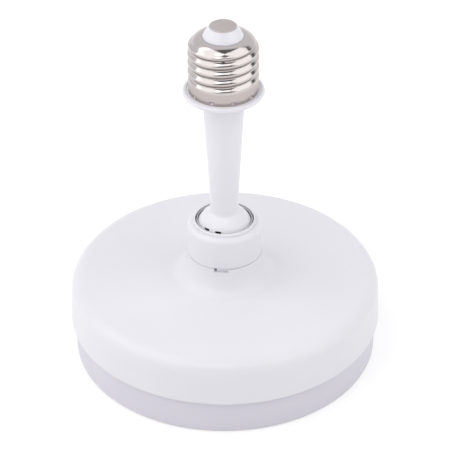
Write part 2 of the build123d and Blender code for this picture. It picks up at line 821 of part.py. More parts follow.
# Output pins: carry the current from the driver board down to the LED board
with BuildPart() as output_pins:
    with BuildSketch(Plane.XY.offset(led_board_z - output_pin_stub)):
        with Locations(*output_pin_places):
            Circle(output_pin_radius)
    extrude(amount=driver_top_z + output_pin_top - led_board_z + output_pin_stub)
output_pins.part.label = "output_pins"
export_step(output_pins.part, "parts/output_pins.step")

# Fusible resistor: a lying cylinder with a bent lead at each end
fuse_axis_z = driver_top_z + fuse_radius
with BuildPart() as fuse_resistor:
    with BuildSketch(Plane(origin=(*fuse_place, fuse_axis_z), z_dir=(1, 0, 0))):
        Circle(fuse_radius)
    extrude(amount=fuse_length / 2, both=True)
    fillet(fuse_resistor.edges().filter_by(GeomType.CIRCLE), fuse_end_rounding)
    for side in (-1, 1):
        with BuildLine(upright(fuse_place, fuse_axis_z)) as fuse_lead:
            FilletPolyline(
                (side * (fuse_length / 2 - lead_radius), 0),
                (side * (fuse_length / 2 + lead_reach), 0),
                (side * (fuse_length / 2 + lead_reach), -fuse_radius),
                radius=lead_bend,
            )
        with BuildSketch(Plane(origin=fuse_lead.line @ 0, z_dir=fuse_lead.line % 0)):
            Circle(lead_radius)
        sweep()
fuse_resistor.part.label = "fuse_resistor"
export_step(fuse_resistor.part, "parts/fuse_resistor.step")

# Bridge rectifier: a moulded package with two bent legs on each side
with BuildPart() as bridge_rectifier:
    with BuildSketch(Plane.XY.offset(driver_top_z + package_lift)):
        with Locations(bridge_place):
            Rectangle(bridge_size[0], bridge_size[1])
    extrude(amount=bridge_size[2])
    chamfer(bridge_rectifier.edges().group_by(Axis.Z)[-1], package_chamfer)
    with BuildSketch(*leg_planes(bridge_place, bridge_size, 2, bridge_leg_pitch)):
        Polygon(*leg_outline(bridge_size[2]), align=None)
    extrude(amount=leg_width / 2, both=True)
bridge_rectifier.part.label = "bridge_rectifier"
export_step(bridge_rectifier.part, "parts/bridge_rectifier.step")

# Driver chip: the same kind of package with more legs
with BuildPart() as driver_chip:
    with BuildSketch(Plane.XY.offset(driver_top_z + package_lift)):
        with Locations(chip_place):
            Rectangle(chip_size[0], chip_size[1])
    extrude(amount=chip_size[2])
    chamfer(driver_chip.edges().group_by(Axis.Z)[-1], package_chamfer)
    with BuildSketch(*leg_planes(chip_place, chip_size, chip_leg_count, chip_leg_pitch)):
        Polygon(*leg_outline(chip_size[2]), align=None)
    extrude(amount=leg_width / 2, both=True)
driver_chip.part.label = "driver_chip"
export_step(driver_chip.part, "parts/driver_chip.step")

# Freewheel diode: a small package with one wide tab at each end
with BuildPart() as freewheel_diode:
    with BuildSketch(Plane.XY.offset(driver_top_z + package_lift)):
        with Locations(diode_place):
            Rectangle(diode_size[0], diode_size[1])
    extrude(amount=diode_size[2])
    chamfer(freewheel_diode.edges().group_by(Axis.Z)[-1], package_chamfer)
    with BuildSketch(*leg_planes(diode_place, diode_size, 1, 0)):
        Polygon(*leg_outline(diode_size[2]), align=None)
    extrude(amount=diode_tab_width / 2, both=True)
freewheel_diode.part.label = "freewheel_diode"
export_step(freewheel_diode.part, "parts/freewheel_diode.step")

# Film capacitor: a rounded block
with BuildPart() as film_capacitor:
    with BuildSketch(Plane.XY.offset(driver_top_z)):
        with Locations(film_place):
            RectangleRounded(film_size[0], film_size[1], film_rounding)
    extrude(amount=film_size[2])
    fillet(film_capacitor.edges().group_by(Axis.Z)[-1], film_rounding)
film_capacitor.part.label = "film_capacitor"
export_step(film_capacitor.part, "parts/film_capacitor.step")

# Input capacitor: a can lying on the board, crimped near its leads
input_can_z = driver_top_z + input_can_radius
input_can_end = input_can_length / 2
with BuildPart() as input_capacitor:
    with BuildSketch(upright(input_can_place, input_can_z)):
        with BuildLine():
            Polyline(
                (-input_can_end, 0),
                (-input_can_end, input_can_radius),
                (input_can_end - can_crimp_rise - can_crimp, input_can_radius),
                (input_can_end - can_crimp_rise, input_can_radius - can_crimp),
                (input_can_end - can_crimp_rise + can_crimp, input_can_radius),
                (input_can_end, input_can_radius),
                (input_can_end, 0),
                close=True,
            )
        make_face()
    revolve(axis=Axis((*input_can_place, input_can_z), (1, 0, 0)))
    can_edges = input_capacitor.edges().filter_by(GeomType.CIRCLE).group_by(Axis.X)
    fillet(can_edges[0] + can_edges[-1], can_rounding)
    for side in (-1, 1):
        lead_place = (input_can_place[0] + input_can_end, input_can_place[1] + side * input_lead_pitch / 2)
        with BuildLine(upright(lead_place, input_can_z)) as can_lead:
            FilletPolyline(
                (-lead_radius, 0),
                (lead_reach, 0),
                (lead_reach, -input_can_radius),
                radius=lead_bend,
            )
        with BuildSketch(Plane(origin=can_lead.line @ 0, z_dir=can_lead.line % 0)):
            Circle(lead_radius)
        sweep()
input_capacitor.part.label = "input_capacitor"
export_step(input_capacitor.part, "parts/input_capacitor.step")

# Output capacitor: a smaller can standing on the board
with BuildPart() as output_capacitor:
    with BuildSketch(upright(output_can_place, driver_top_z)):
        with BuildLine():
            Polyline(
                (0, 0),
                (output_can_radius, 0),
                (output_can_radius, can_crimp_rise - can_crimp),
                (output_can_radius - can_crimp, can_crimp_rise),
                (output_can_radius, can_crimp_rise + can_crimp),
                (output_can_radius, output_can_height),
                (0, output_can_height),
                close=True,
            )
        make_face()
    revolve(axis=Axis((*output_can_place, driver_top_z), (0, 0, 1)))
    fillet(output_capacitor.edges().group_by(Axis.Z)[-1], can_rounding)
output_capacitor.part.label = "output_capacitor"
export_step(output_capacitor.part, "parts/output_capacitor.step")

# Choke: a ferrite spool with a copper winding between its flanges
choke_axis = Axis((*choke_place, driver_top_z), (0, 0, 1))
with BuildPart() as choke_core:
    with BuildSketch(upright(choke_place, driver_top_z)):
        with BuildLine():
            Polyline(
                (0, 0),
                (choke_radius, 0),
                (choke_radius, choke_flange),
                (choke_spool_radius, choke_flange),
                (choke_spool_radius, choke_height - choke_flange),
                (choke_radius, choke_height - choke_flange),
                (choke_radius, choke_height),
                (0, choke_height),
                close=True,
            )
        make_face()
    revolve(axis=choke_axis)
choke_core.part.label = "choke_core"
export_step(choke_core.part, "parts/choke_core.step")

with BuildPart() as choke_winding:
    with BuildSketch(Plane.XY.offset(driver_top_z + choke_flange + winding_gap)):
        with Locations(choke_place):
            Circle(choke_radius - winding_inset)
            Circle(choke_spool_radius + winding_gap, mode=Mode.SUBTRACT)
    extrude(amount=choke_height - 2 * choke_flange - 2 * winding_gap)
choke_winding.part.label = "choke_winding"
export_step(choke_winding.part, "parts/choke_winding.step")

# Supply wires in the head, from the ball's centre down through the boss to the driver board
for side, name in ((1, "live_wire_head"), (-1, "neutral_wire_head")):
    with BuildPart() as head_wire:
        with BuildLine() as head_route:
            FilletPolyline(
                (0, side * wire_offset, ball_z - wire_joint_gap),
                (0, side * wire_offset, wire_turn_z),
                (wire_slope_x, side * wire_slope_y, wire_slope_z),
                (wire_pad_x, side * wire_pad_y, driver_top_z + wire_pad_rise),
                (wire_pad_x, side * wire_pad_y, driver_top_z),
                radius=head_wire_bends,
            )
        with BuildSketch(Plane(origin=head_route.line @ 0, z_dir=head_route.line % 0)):
            Circle(wire_radius)
        sweep()
    head_wire.part.label = name
    export_step(head_wire.part, f"parts/{name}.step")

# Live wire in the neck, up to the centre contact's rivet
with BuildPart() as live_wire_neck:
    with BuildLine() as live_route:
        FilletPolyline(
            (0, wire_offset, ball_z + wire_joint_gap),
            (0, wire_offset, plug_top_z - live_bend_drop),
            (0, 0, plug_top_z - live_straight_drop),
            (0, 0, contact_shank_bottom_z),
            radius=live_wire_bend,
        )
    with BuildSketch(Plane(origin=live_route.line @ 0, z_dir=live_route.line % 0)):
        Circle(wire_radius)
    sweep()
live_wire_neck.part.label = "live_wire_neck"
export_step(live_wire_neck.part, "parts/live_wire_neck.step")

# Neutral wire in the neck, over the plug's rim to the inside of the screw shell
with BuildPart() as neutral_wire_neck:
    with BuildLine() as neutral_route:
        FilletPolyline(
            (0, -wire_offset, ball_z + wire_joint_gap),
            (0, -wire_offset, plug_top_z - neutral_bend_drop),
            (0, -neutral_turn_y, plug_top_z + neutral_level_rise),
            (0, neutral_end_gap + shell_wall - thread_middle_radius, plug_top_z + neutral_level_rise),
            radius=neutral_wire_bends,
        )
    with BuildSketch(Plane(origin=neutral_route.line @ 0, z_dir=neutral_route.line % 0)):
        Circle(wire_radius)
    sweep()
neutral_wire_neck.part.label = "neutral_wire_neck"
export_step(neutral_wire_neck.part, "parts/neutral_wire_neck.step")
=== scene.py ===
import json
from math import cos, exp, pi, radians, sin

import bpy
from mathutils import Matrix, Vector


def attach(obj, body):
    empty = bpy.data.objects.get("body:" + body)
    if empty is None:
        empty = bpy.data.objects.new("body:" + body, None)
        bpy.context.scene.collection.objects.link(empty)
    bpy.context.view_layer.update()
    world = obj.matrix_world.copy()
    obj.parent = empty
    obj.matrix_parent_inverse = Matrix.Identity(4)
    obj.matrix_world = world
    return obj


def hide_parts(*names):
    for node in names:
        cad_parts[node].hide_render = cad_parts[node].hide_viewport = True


# A round LED disc lamp on a ball-jointed neck with a screw cap, standing on its diffuser.
# The scene keeps the frame of the CAD part: +Z runs up the neck, and the lamp's front faces -Y.
# Blender's lengths are metres. Lengths written in millimetres are turned into metres with MM.

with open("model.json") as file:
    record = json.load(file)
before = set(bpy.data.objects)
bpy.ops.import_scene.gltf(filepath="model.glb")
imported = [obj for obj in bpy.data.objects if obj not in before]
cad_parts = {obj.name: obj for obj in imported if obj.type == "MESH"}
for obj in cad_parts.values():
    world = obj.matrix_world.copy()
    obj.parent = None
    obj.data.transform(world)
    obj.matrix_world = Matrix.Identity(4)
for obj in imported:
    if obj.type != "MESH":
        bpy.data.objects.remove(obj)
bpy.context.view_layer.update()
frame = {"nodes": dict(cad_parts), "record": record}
MM = 0.001

# The span that holds most of a noise texture's values
NOISE_SPAN = (0.3, 0.7)
# The length after which a wave texture repeats at scale 1
WAVE_LENGTH = 0.314
# The sockets of a Mix node that take and give colours
MIX_FIRST = 6
MIX_SECOND = 7
MIX_RESULT = 2
# The width of a sharp edge between two colours, in millimetres
SHARP_EDGE = 0.02
BARE_METAL = (0.70, 0.69, 0.67)


class NodeTree:
    """Short calls that add nodes to a tree."""

    def __init__(self, tree):
        self.tree = tree

    def node(self, kind, **inputs):
        """A new node, with an input set or linked for each name. A name has _ for a space."""
        made = self.tree.nodes.new("ShaderNode" + kind)
        for name, value in inputs.items():
            self.feed(made.inputs[name.replace("_", " ")], value)
        return made

    def feed(self, socket, value):
        """Link a socket to another node's output, or set it to a plain value."""
        if isinstance(value, bpy.types.NodeSocket):
            self.tree.links.new(value, socket)
        else:
            socket.default_value = value

    def compute(self, kind, operation, *values):
        """A Math or VectorMath node that works on these values."""
        made = self.node(kind)
        made.operation = operation
        for socket, value in zip(made.inputs, values):
            self.feed(socket, value)
        return made

    def remap(self, value, to, span=NOISE_SPAN, curve="LINEAR"):
        """A value's span, turned into another span and held at its ends."""
        made = self.node("MapRange", Value=value)
        made.interpolation_type = curve
        for name, number in zip(("From Min", "From Max", "To Min", "To Max"), (*span, *to)):
            made.inputs[name].default_value = number
        return made.outputs[0]

    def mix(self, fraction, first, second):
        """The first colour, taken so far towards the second."""
        made = self.node("Mix", Factor=fraction)
        made.data_type = "RGBA"
        self.feed(made.inputs[MIX_FIRST], first)
        self.feed(made.inputs[MIX_SECOND], second)
        return made.outputs[MIX_RESULT]


class Surface(NodeTree):
    """A node material: a Principled shader, and short calls for the textures that feed it."""

    def __init__(self, name, colour, roughness, metallic=0.0):
        self.material = bpy.data.materials.new(name)
        self.material.use_nodes = True
        super().__init__(self.material.node_tree)
        self.shader = self.tree.nodes["Principled BSDF"]
        self.colour = (*colour, 1)
        self.normal = None
        self.feed(self.shader.inputs["Base Color"], self.colour)
        self.feed(self.shader.inputs["Roughness"], roughness)
        self.feed(self.shader.inputs["Metallic"], metallic)

    def place(self, stretch=(1, 1, 1), centre=(0, 0, 0)):
        """The piece's own coordinates in metres, stretched along the axes about a centre in millimetres."""
        own = self.node("TexCoord").outputs["Object"]
        shifted = self.compute("VectorMath", "SUBTRACT", own, Vector(centre) * MM).outputs[0]
        return self.compute("VectorMath", "MULTIPLY", shifted, stretch).outputs[0]

    def along(self, axis, centre=(0, 0, 0)):
        """Distance from a centre along X, Y or Z, in metres."""
        return self.node("SeparateXYZ", Vector=self.place(centre=centre)).outputs[axis]

    def facing(self, axis):
        """How far the surface faces along an axis: 1 towards its plus end and -1 towards its minus end."""
        normal = self.node("TexCoord").outputs["Normal"]
        return self.node("SeparateXYZ", Vector=normal).outputs[axis]

    def beyond(self, axis, centre, reach):
        """1 where a piece sticks out past a reach from a centre along an axis, both in millimetres."""
        distance = self.compute("Math", "ABSOLUTE", self.along(axis, centre)).outputs[0]
        return self.remap(distance, (0, 1), span=(reach * MM, (reach + SHARP_EDGE) * MM))

    def noise(self, size, detail, stretch=(1, 1, 1)):
        """Clouds about this many millimetres across. A stretch below 1 draws them out along that axis."""
        clouds = self.node("TexNoise", Vector=self.place(stretch), Scale=1 / (size * MM), Detail=detail)
        return clouds.outputs["Fac"]

    def rings(self, size):
        """Uneven concentric rings round the neck's axis, this many millimetres apart."""
        wave = self.node("TexWave", Vector=self.place(), Scale=WAVE_LENGTH / (size * MM))
        wave.wave_type = "RINGS"
        wave.rings_direction = "Z"
        wave.inputs["Distortion"].default_value = 1.0
        wave.inputs["Detail Scale"].default_value = 2.0
        return wave.outputs["Fac"]

    def bands(self, size, axis):
        """Even bands across an axis, this many millimetres apart."""
        wave = self.node("TexWave", Vector=self.place(), Scale=WAVE_LENGTH / (size * MM))
        wave.bands_direction = axis
        return wave.outputs["Fac"]

    def lands(self, size, gap):
        """1 on a board's printed copper and 0 in the gaps between its lands, with sizes in millimetres."""
        cells = self.node("TexVoronoi", Vector=self.place((1, 1, 0)), Scale=1 / (size * MM))
        cells.feature = "DISTANCE_TO_EDGE"
        return self.remap(cells.outputs["Distance"], (0, 1), span=(0, gap / size))

    def tint(self, fraction, colour):
        """Mix the colour so far towards another one."""
        self.colour = self.mix(fraction, self.colour, (*colour, 1))
        self.feed(self.shader.inputs["Base Color"], self.colour)

    def cloud(self, size, amount, colour, detail=4, span=NOISE_SPAN):
        """Tint up to this much towards a colour, in clouds this many millimetres across."""
        self.tint(self.remap(self.noise(size, detail), (0, amount), span), colour)

    def polish(self, value):
        """Set the roughness, from 0 for a mirror to 1 for chalk."""
        self.feed(self.shader.inputs["Roughness"], value)

    def smear(self, size, roughness, detail=4):
        """Let the roughness drift over a span, in patches this many millimetres across."""
        self.polish(self.remap(self.noise(size, detail), roughness))

    def bare(self, fraction):
        """Turn the surface so far into bare metal, such as the legs of a package."""
        self.tint(fraction, BARE_METAL)
        self.feed(self.shader.inputs["Metallic"], fraction)

    def relief(self, height, depth):
        """Add bumps this many millimetres deep to the ones so far."""
        bump = self.node("Bump", Height=height, Distance=depth * MM)
        if self.normal:
            self.feed(bump.inputs["Normal"], self.normal)
        self.normal = bump.outputs[0]
        self.feed(self.shader.inputs["Normal"], self.normal)


def add_to_scene(name, data):
    added = bpy.data.objects.new(name, data)
    bpy.context.scene.collection.objects.link(added)
    return added


# Camera, fitted to the photograph's outlines
CAMERA_ELEVATION = radians(34.37)
CAMERA_ROLL = radians(-0.43)
CAMERA_TARGET = Vector((0.18, 0, 54.26)) * MM
CAMERA_DISTANCE = 825.3 * MM
NEAREST_SEEN = 0.05
FURTHEST_SEEN = 20.0
FOCAL_LENGTH_PIXELS = 2146.5
FRAME_PIXELS = 450
SENSOR_WIDTH = 36.0


def make_camera():
    data = bpy.data.cameras.new("camera")
    data.sensor_width = SENSOR_WIDTH
    data.lens = FOCAL_LENGTH_PIXELS / FRAME_PIXELS * SENSOR_WIDTH
    data.clip_start = NEAREST_SEEN
    data.clip_end = FURTHEST_SEEN
    back = Vector((0, -cos(CAMERA_ELEVATION), sin(CAMERA_ELEVATION)))
    turn = Matrix.Rotation(pi / 2 - CAMERA_ELEVATION, 4, "X") @ Matrix.Rotation(CAMERA_ROLL, 4, "Z")
    camera = add_to_scene("camera", data)
    camera.matrix_world = Matrix.Translation(CAMERA_TARGET + back * CAMERA_DISTANCE) @ turn
    bpy.context.scene.camera = camera


make_camera()

# Softboxes, aimed at the upper part of the lamp
LIGHT_AIM = Vector((0, 0, 120)) * MM


def make_softbox(name, azimuth, elevation, distance, width, height, brightness):
    """A rectangular lamp, with its direction in degrees from the front and up, and its lengths in metres."""
    data = bpy.data.lights.new(name, "AREA")
    data.shape = "RECTANGLE"
    data.size = width
    data.size_y = height
    data.energy = brightness * pi * width * height
    turn = radians(azimuth)
    rise = radians(elevation)
    away = Vector((sin(turn) * cos(rise), -cos(turn) * cos(rise), sin(rise)))
    light = add_to_scene(name, data)
    light.location = LIGHT_AIM + away * distance
    light.rotation_euler = away.to_track_quat("Z", "Y").to_euler()


make_softbox("softbox_left", -66, 43, distance=0.95, width=1.2, height=1.3, brightness=1.35)
make_softbox("softbox_right", 68, 40, distance=0.95, width=1.08, height=1.2, brightness=1.35)
make_softbox("softbox_front", -5, 54, distance=1.4, width=0.9, height=0.46, brightness=1.5)

# Room: white round the horizon, light behind the lamp, and dark in front and overhead, behind the softboxes
ROOM_WHITE = (1.0, 1.0, 1.0, 1)
ROOM_BACK = (0.84, 0.84, 0.86, 1)
ROOM_FRONT = (0.13, 0.13, 0.135, 1)
FRONT_AZIMUTH = radians(14)
FRONT_DIRECTION = (sin(FRONT_AZIMUTH), -cos(FRONT_AZIMUTH), 0)
# How far a direction points to the front where the dark begins, and up where the white horizon ends
FRONT_EDGE = (-0.3, -0.1)
HORIZON_EDGE = (0.12, 0.2)


def make_world():
    world = bpy.data.worlds.new("room")
    world.use_nodes = True
    room = NodeTree(world.node_tree)
    direction = room.node("TexCoord").outputs["Generated"]
    height = room.node("SeparateXYZ", Vector=direction).outputs["Z"]
    frontness = room.compute("VectorMath", "DOT_PRODUCT", direction, FRONT_DIRECTION).outputs["Value"]
    in_front = room.remap(frontness, (0, 1), FRONT_EDGE, curve="SMOOTHSTEP")
    above_horizon = room.remap(height, (0, 1), HORIZON_EDGE, curve="SMOOTHSTEP")
    wall = room.mix(in_front, ROOM_BACK, ROOM_FRONT)
    room.feed(room.tree.nodes["Background"].inputs["Color"], room.mix(above_horizon, ROOM_WHITE, wall))
    bpy.context.scene.world = world


make_world()
bpy.context.scene.view_settings.view_transform = "Standard"

# Floor: white where the camera, metal or glass sees it, with the lamp's soft shadow kept.
# Its size is in metres, and its drop below the lamp in millimetres.
FLOOR_SIZE = 1.6
FLOOR_DROP = 0.2
FLOOR_PAINT = (0.9, 0.9, 0.91)
FLOOR_SHADED = (0.52, 0.52, 0.52, 1)
FLOOR_GLOW = 0.56


def make_floor():
    half = FLOOR_SIZE / 2
    corners = [(-half, -half, 0), (half, -half, 0), (half, half, 0), (-half, half, 0)]
    mesh = bpy.data.meshes.new("floor")
    mesh.from_pydata(corners, [], [(0, 1, 2, 3)])
    floor = add_to_scene("floor", mesh)
    floor.location.z = -FLOOR_DROP * MM

    paint = Surface("pale_floor", FLOOR_PAINT, roughness=0.9)
    paint.shader.inputs["Specular IOR Level"].default_value = 0.0
    seen_white = paint.node("AddShader")
    paint.feed(seen_white.inputs[0], paint.node("BsdfDiffuse", Color=FLOOR_SHADED).outputs[0])
    paint.feed(seen_white.inputs[1], paint.node("Emission", Strength=FLOOR_GLOW).outputs[0])
    ray = paint.node("LightPath").outputs
    seen = paint.compute("Math", "MAXIMUM", ray["Is Camera Ray"], ray["Is Glossy Ray"]).outputs[0]
    seen = paint.compute("Math", "MAXIMUM", seen, ray["Is Transmission Ray"]).outputs[0]
    shown = paint.node("MixShader", Fac=seen)
    paint.feed(shown.inputs[1], paint.shader.outputs[0])
    paint.feed(shown.inputs[2], seen_white.outputs[0])
    paint.feed(paint.tree.nodes["Material Output"].inputs["Surface"], shown.outputs[0])
    mesh.materials.append(paint.material)


make_floor()


def shade_node(node, surface):
    for material_slot in frame["nodes"][node].material_slots:
        material_slot.material = surface.material


def shade(slot, surface):
    """Put a surface on every CAD node of a material slot."""
    for row in frame["record"]["subparts"]:
        if row["material_slot"] == slot:
            shade_node(row["node"], surface)


# White plastic pieces. The top of a noise texture's values leaves only small specks.
SPECK_COLOUR = (0.62, 0.60, 0.56)
SPECK_SPAN = (0.62, 0.72)


def moulded_plastic(name, colour, shadow, roughness=0.34, grain_depth=0.0035):
    """A pale moulding: faint clouds and specks, long shallow sink marks and a fine satin grain."""
    surface = Surface(name, colour, roughness)
    surface.cloud(size=24, amount=0.45, colour=shadow, detail=3)
    surface.cloud(size=1.1, amount=0.10, colour=SPECK_COLOUR, span=SPECK_SPAN)
    surface.smear(size=5, roughness=(roughness - 0.05, roughness + 0.07))
    surface.relief(surface.noise(size=16, detail=1), depth=0.05)
    surface.relief(surface.noise(size=0.32, detail=2), depth=grain_depth)
    return surface


# Top housing, collar, neck stem and cap base
housing = moulded_plastic("white_housing", colour=(0.80, 0.79, 0.83), shadow=(0.775, 0.77, 0.815))
shade("white_housing", housing)

# Insulator in the cap's mouth
insulator = moulded_plastic("insulator", colour=(0.80, 0.79, 0.84), shadow=(0.75, 0.74, 0.80), roughness=0.22)
shade("insulator", insulator)

# Swivel ring: slippery plastic, with painted shade on the walls that turn in the collar and round the ball,
# where they face the gaps
GAP_SHADE = (0.22, 0.21, 0.22)
ring = moulded_plastic("swivel_ring", colour=(0.80, 0.80, 0.83), shadow=(0.76, 0.76, 0.80), roughness=0.28)
ring.tint(ring.remap(ring.facing("Z"), (1, 0), span=(0.3, 0.8)), GAP_SHADE)
shade("ring", ring)

# Diffuser: milky plastic with a frosted grain, and a painted shadow in a line under the housing's rim
RIM_SHADOW = (0.40, 0.38, 0.38)
RIM_SHADOW_BOTTOM = 13.9 * MM
RIM_SHADOW_TOP = 14.6 * MM
frost = moulded_plastic(
    "frosted_diffuser",
    colour=(0.70, 0.68, 0.745),
    shadow=(0.67, 0.65, 0.72),
    roughness=0.42,
    grain_depth=0.006,
)
frost.tint(frost.remap(frost.along("Z"), (0, 0.5), span=(RIM_SHADOW_BOTTOM, RIM_SHADOW_TOP)), RIM_SHADOW)
shade("diffuser", frost)


def plated_metal(name, colour, tarnish, stretch=(1, 1, 1), line_depth=0.002):
    """Plated metal, clouded with tarnish, with fine lines along the axes where the stretch is below 1."""
    surface = Surface(name, colour, roughness=0.2, metallic=1.0)
    surface.cloud(size=7, amount=0.5, colour=tarnish)
    surface.relief(surface.noise(size=0.4, detail=3, stretch=stretch), line_depth)
    return surface


# Screw shell: bright threads and dome over a satin skirt, with painted shade in the grooves, punch marks and
# crimped line.
# The shell's mesh carries an attribute of this name, which says how much painted shade a point has.
SHADE_ATTRIBUTE = "painted_shade"
PAINTED_SHADE_COLOUR = (0.10, 0.07, 0.06)
SKIRT_COLOUR = (0.52, 0.46, 0.445)
SKIRT_EDGE = (119.6 * MM, 120.4 * MM)
shell_metal = plated_metal("nickel_shell", (0.61, 0.57, 0.555), (0.57, 0.52, 0.50), stretch=(0.06, 0.06, 1))
# Painted shade in the thread's grooves, the punch marks and the crimped line, read from the mesh's attribute
painted_shade_map = shell_metal.node("Attribute")
painted_shade_map.attribute_name = SHADE_ATTRIBUTE
shell_metal.tint(shell_metal.remap(painted_shade_map.outputs["Fac"], (0, 0.75), span=(0, 0.8)), PAINTED_SHADE_COLOUR)
shell_metal.tint(shell_metal.remap(shell_metal.along("Z"), (0.8, 0), span=SKIRT_EDGE), SKIRT_COLOUR)
satin = shell_metal.remap(shell_metal.along("Z"), (0.34, 0.13), span=SKIRT_EDGE)
wear = shell_metal.remap(shell_metal.noise(size=2.5, detail=5), (-0.03, 0.05))
shell_metal.polish(shell_metal.compute("Math", "ADD", satin, wear).outputs[0])
shade("cap_metal", shell_metal)

# Centre contact: turned and satin
contact_metal = plated_metal("satin_contact", (0.61, 0.555, 0.54), (0.55, 0.50, 0.48))
contact_metal.smear(size=1.2, roughness=(0.38, 0.52), detail=5)
contact_metal.relief(contact_metal.rings(0.3), depth=0.002)
shade("contact_metal", contact_metal)

# Steel screws: zinc plate with turning lines and dull patches
ZINC = (0.52, 0.52, 0.54)
ZINC_TARNISH = (0.38, 0.37, 0.35)
zinc = plated_metal("zinc_steel", ZINC, ZINC_TARNISH, stretch=(0.3, 0.3, 1), line_depth=0.006)
zinc.smear(size=0.9, roughness=(0.24, 0.46))
shade("steel", zinc)

# Output pins: tinned copper, drawn along its length
tinned = plated_metal("tinned_copper", BARE_METAL, (0.55, 0.53, 0.50), stretch=(1, 1, 0.08))
tinned.smear(size=0.6, roughness=(0.2, 0.42))
shade("tinned", tinned)


def printed_board(name, mask, gap_colour, land_size, land_gap):
    """Solder mask over copper lands, with the fine weave of the board under it."""
    surface = Surface(name, mask, roughness=0.3)
    lands = surface.lands(land_size, land_gap)
    surface.tint(surface.remap(lands, (1, 0), span=(0, 1)), gap_colour)
    surface.cloud(size=9, amount=0.3, colour=gap_colour)
    surface.smear(size=3, roughness=(0.24, 0.38))
    surface.relief(lands, depth=0.035)
    for axis in ("X", "Y"):
        surface.relief(surface.bands(0.5, axis), depth=0.004)
    return surface


led_board = printed_board(
    "led_board_mask",
    mask=(0.80, 0.80, 0.79),
    gap_colour=(0.70, 0.71, 0.70),
    land_size=15,
    land_gap=0.5,
)
shade("led_board", led_board)
driver_board = printed_board(
    "driver_board_mask",
    mask=(0.03, 0.20, 0.08),
    gap_colour=(0.015, 0.10, 0.04),
    land_size=4.5,
    land_gap=0.35,
)
shade("circuit_board", driver_board)

# LEDs: yellow phosphor in the underside of a white package
PHOSPHOR = (0.82, 0.60, 0.12)
led = Surface("led_phosphor", (0.82, 0.82, 0.80), roughness=0.35)
led.tint(led.remap(led.facing("Z"), (1, 0), span=(-0.9, -0.8)), PHOSPHOR)
led.cloud(size=0.8, amount=0.25, colour=(0.74, 0.56, 0.20), detail=3)
led.smear(size=0.5, roughness=(0.28, 0.48), detail=3)
led.relief(led.noise(size=0.3, detail=2), depth=0.01)
shade("led", led)

# Insulating sheet: thin milky film, slightly wavy, with long faint scratches
film = Surface("insulating_film", (0.80, 0.81, 0.78), roughness=0.4)
film.shader.inputs["Transmission Weight"].default_value = 0.35
film.cloud(size=18, amount=0.6, colour=(0.72, 0.73, 0.69))
film.smear(size=4, roughness=(0.3, 0.52), detail=5)
film.relief(film.noise(size=0.8, detail=4, stretch=(0.05, 1, 1)), depth=0.006)
film.relief(film.noise(size=14, detail=1), depth=0.15)
shade("insulating_sheet", film)


def coated_piece(name, colour, cloud, roughness, grain=0.3, grain_depth=0.01):
    """A coat or sleeve on an electronic piece: clouded colour, uneven gloss and a grain."""
    surface = Surface(name, colour, roughness)
    surface.cloud(size=2.5, amount=0.6, colour=cloud)
    surface.smear(size=1.2, roughness=(roughness - 0.07, roughness + 0.1))
    surface.relief(surface.noise(grain, detail=3), grain_depth)
    return surface


# Fusible resistor: green paint with darker rings, between bare leads
FUSE_CENTRE = (-13.5, 8.6, 22.9)
FUSE_HALF_LENGTH = 3.25
RING_COLOUR = (0.09, 0.045, 0.03)
fuse = coated_piece("resistor_paint", (0.14, 0.30, 0.15), (0.10, 0.23, 0.12), roughness=0.5)
fuse.tint(fuse.remap(fuse.bands(1.7, "X"), (0, 0.8), span=(0.75, 0.85)), RING_COLOUR)
fuse.bare(fuse.beyond("X", FUSE_CENTRE, FUSE_HALF_LENGTH))
shade("resistor", fuse)

# Moulded packages: black compound, with bare legs in front of and behind the body
COMPOUND = (0.022, 0.022, 0.024)
COMPOUND_CLOUD = (0.035, 0.034, 0.034)
PACKAGE_MIDDLES_AND_HALF_DEPTHS = {
    "bridge_rectifier": (0.0, 1.9),
    "driver_chip": (7.6, 1.95),
    "freewheel_diode": (0.6, 2.15),
}
for node, (middle, half_depth) in PACKAGE_MIDDLES_AND_HALF_DEPTHS.items():
    package = coated_piece(f"{node}_compound", COMPOUND, COMPOUND_CLOUD, roughness=0.5, grain=0.12)
    package.bare(package.beyond("Y", (0, middle, 0), half_depth))
    shade_node(node, package)

# Film capacitor: dipped red epoxy
EPOXY = (0.46, 0.035, 0.02)
EPOXY_CLOUD = (0.34, 0.025, 0.018)
epoxy = coated_piece("dipped_epoxy", EPOXY, EPOXY_CLOUD, roughness=0.2, grain=2.2, grain_depth=0.05)
shade("film_capacitor", epoxy)

# Capacitor cans: a dark sleeve with a pale stripe along its back, and a bare aluminium end.
# Each can has the Y where its stripe starts, the axis of its length, and how far the surface faces along
# that axis where the bare end starts and where it is complete.
SLEEVE = (0.03, 0.04, 0.075)
SLEEVE_CLOUD = (0.045, 0.055, 0.09)
STRIPE = (0.42, 0.44, 0.47)
CANS = {
    "input_capacitor": (-4.0, "X", (-0.9, -0.963)),
    "output_capacitor": (9.5, "Z", (0.9, 0.963)),
}
for node, (stripe_y, length_axis, end_edge) in CANS.items():
    sleeve = coated_piece(f"{node}_sleeve", SLEEVE, SLEEVE_CLOUD, roughness=0.3, grain_depth=0.004)
    stripe_edge = (stripe_y * MM, (stripe_y + SHARP_EDGE) * MM)
    sleeve.tint(sleeve.remap(sleeve.along("Y"), (0, 1), span=stripe_edge), STRIPE)
    sleeve.bare(sleeve.remap(sleeve.facing(length_axis), (0, 1), span=end_edge))
    shade_node(node, sleeve)

# Choke: sintered ferrite spool, and enamelled copper wound in level turns
FERRITE = (0.05, 0.05, 0.055)
FERRITE_CLOUD = (0.085, 0.08, 0.08)
ferrite = coated_piece("sintered_ferrite", FERRITE, FERRITE_CLOUD, roughness=0.62, grain_depth=0.03)
shade("ferrite", ferrite)
winding = coated_piece("enamelled_copper", (0.58, 0.20, 0.075), (0.45, 0.13, 0.05), roughness=0.28)
winding.shader.inputs["Metallic"].default_value = 1.0
winding.relief(winding.bands(0.42, "Z"), depth=0.12)
shade("copper", winding)

